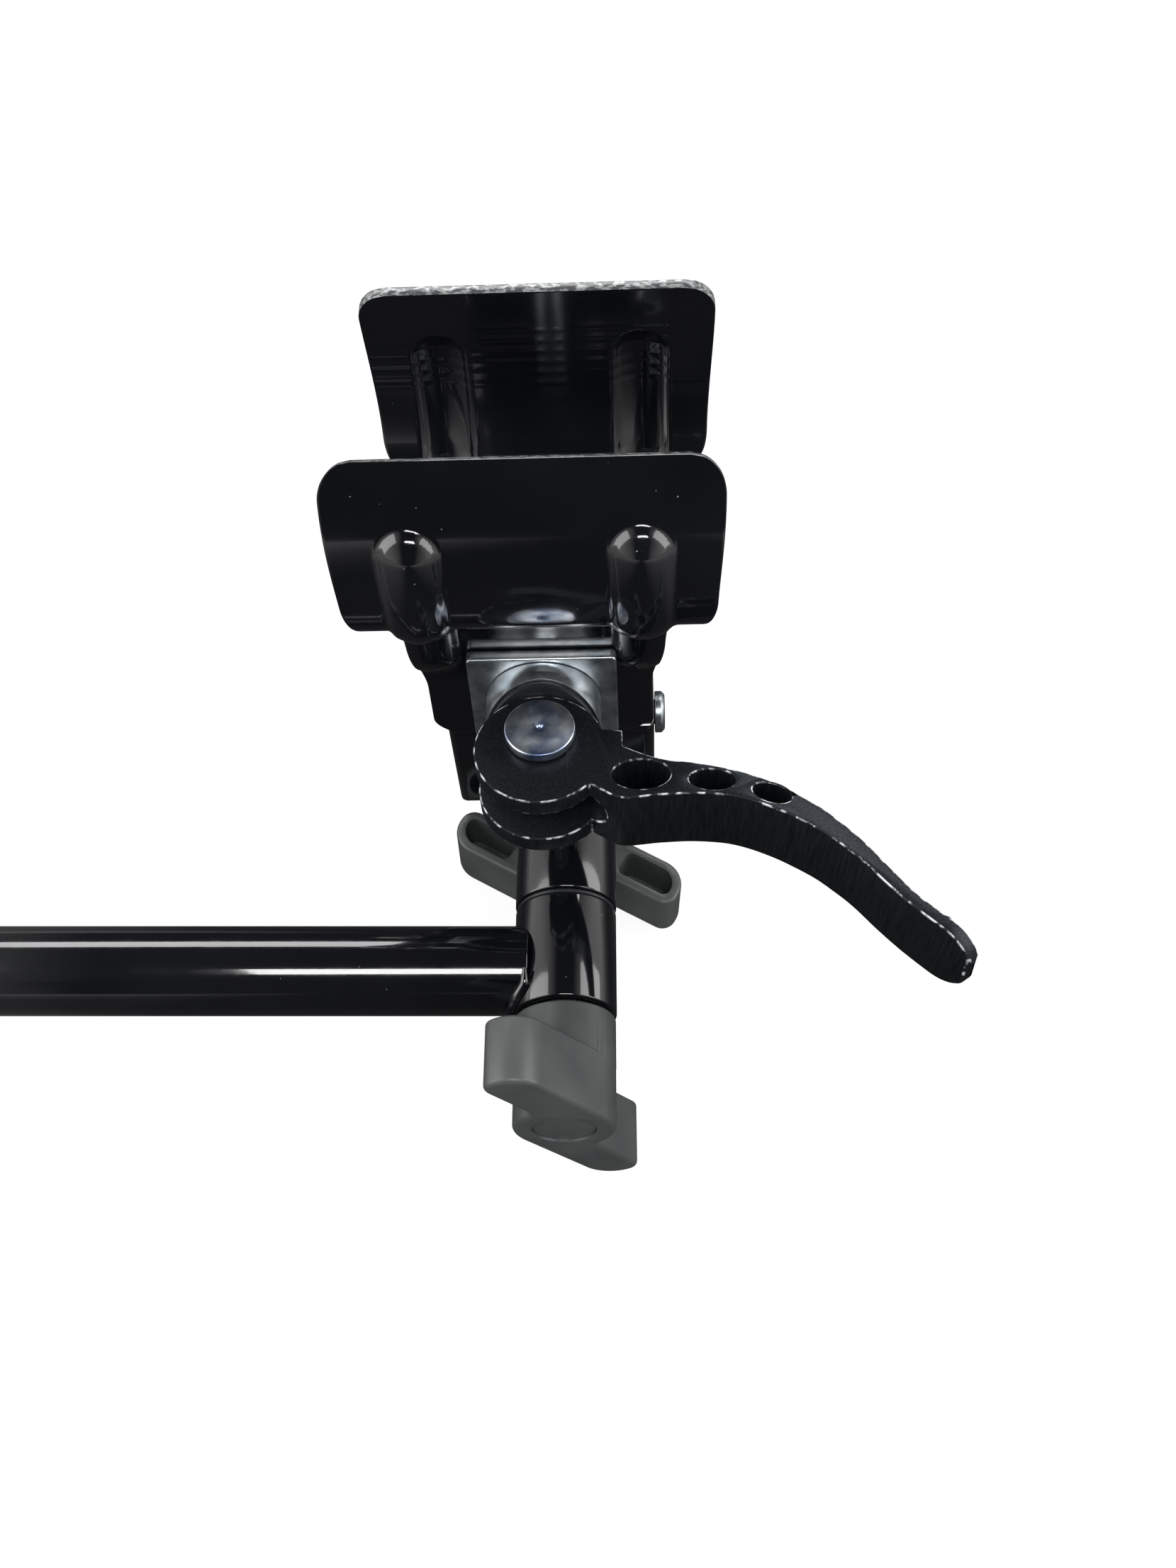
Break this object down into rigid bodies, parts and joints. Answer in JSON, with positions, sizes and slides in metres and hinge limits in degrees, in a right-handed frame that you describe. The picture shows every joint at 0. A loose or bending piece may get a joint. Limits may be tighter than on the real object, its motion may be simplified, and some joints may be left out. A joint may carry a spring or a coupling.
{
  "type": "cam lever clamp head",
  "caption": "Two-jaw clamp head with a curved cam lever, on a turning stub carried by a round cross arm, with wing knobs to lock it.",
  "frame": {"origin": "middle of the outer face of the plug in the arm's free end", "axes": "+X along the arm towards the sleeve, +Y along the sleeve and stub towards the jaws, +Z the way the mouth of the jaws opens"},
  "size_m": [0.2819, 0.1825, 0.1444],
  "materials": {
    "gloss_black": "gloss",
    "knob_plastic": "fine texture",
    "zinc": "zinc plated",
    "black_anodised": "black anodised, satin",
    "black_nylon": "satin",
    "steel": "turned"
  },
  "bodies": {
    "arm": {"arm_tube": "gloss_black", "arm_end_plug": "black_nylon", "cross_sleeve": "gloss_black", "weld_bead": "gloss_black", "spigot": "steel", "pivot_rod": "steel"},
    "base_knob": {"base_knob": "knob_plastic", "base_knob_insert": "zinc", "base_knob_cap": "knob_plastic", "base_washer": "black_nylon"},
    "head": {"head_stub": "gloss_black", "sleeve_washer": "black_nylon", "lock_boss": "steel", "fixed_jaw": "gloss_black", "hinge_pin": "zinc", "hinge_clip": "steel", "hinge_washer_left": "zinc", "hinge_washer_right": "zinc", "hinge_spacer": "steel"},
    "side_knob": {"side_knob": "knob_plastic", "side_knob_insert": "zinc", "side_knob_cap": "knob_plastic", "side_lock_stud": "steel"},
    "moving_jaw": {"moving_jaw": "gloss_black", "clamp_plate": "zinc", "cam_saddle": "zinc", "saddle_liner": "black_nylon"},
    "draw_bolt": {"cam_bolt": "steel", "cam_pin": "zinc", "pin_ring": "steel", "adjuster_washer": "zinc"},
    "adjuster": {"adjuster_nut": "knob_plastic"},
    "lever": {"cam_lever": "black_anodised", "ear_bush_upper": "steel", "ear_bush_lower": "steel"}
  },
  "joints": [
    {"name": "base_knob_turn", "type": "hinge", "parent": "arm", "child": "base_knob", "pos_m": [0.2, -0.012, 0], "axis": [0, 1, 0], "continuous": true},
    {"name": "head_turn", "type": "hinge", "parent": "arm", "child": "head", "pos_m": [0.2, 0.015, 0], "axis": [0, 1, 0], "range_deg": [-120, 170]},
    {"name": "side_knob_turn", "type": "hinge", "parent": "head", "child": "side_knob", "pos_m": [0.2, 0.0435, -0.0132], "axis": [0, 0, 1], "continuous": true},
    {"name": "jaw_close", "type": "hinge", "parent": "head", "child": "moving_jaw", "pos_m": [0.1965, 0.071, 0], "axis": [-0.9994, 0, -0.0349], "range_deg": [0, 25]},
    {"name": "bolt_draw", "type": "slide", "parent": "moving_jaw", "child": "draw_bolt", "axis": [-0.0024, -0.9976, 0.0697], "range_m": [0, 0.008]},
    {"name": "adjuster_turn", "type": "hinge", "parent": "draw_bolt", "child": "adjuster", "pos_m": [0.1954, 0.12443, 0.03153], "axis": [0.0024, 0.9976, -0.0697], "continuous": true},
    {"name": "lever_swing", "type": "hinge", "parent": "draw_bolt", "child": "lever", "pos_m": [0.19517, 0.03266, 0.03794], "axis": [0.0348, -0.0698, -0.997], "range_deg": [0, 150]}
  ],
  "couplings": [
    {"joint": "bolt_draw", "follows": "lever_swing", "m_per_rad": 0.0030527}
  ]
}
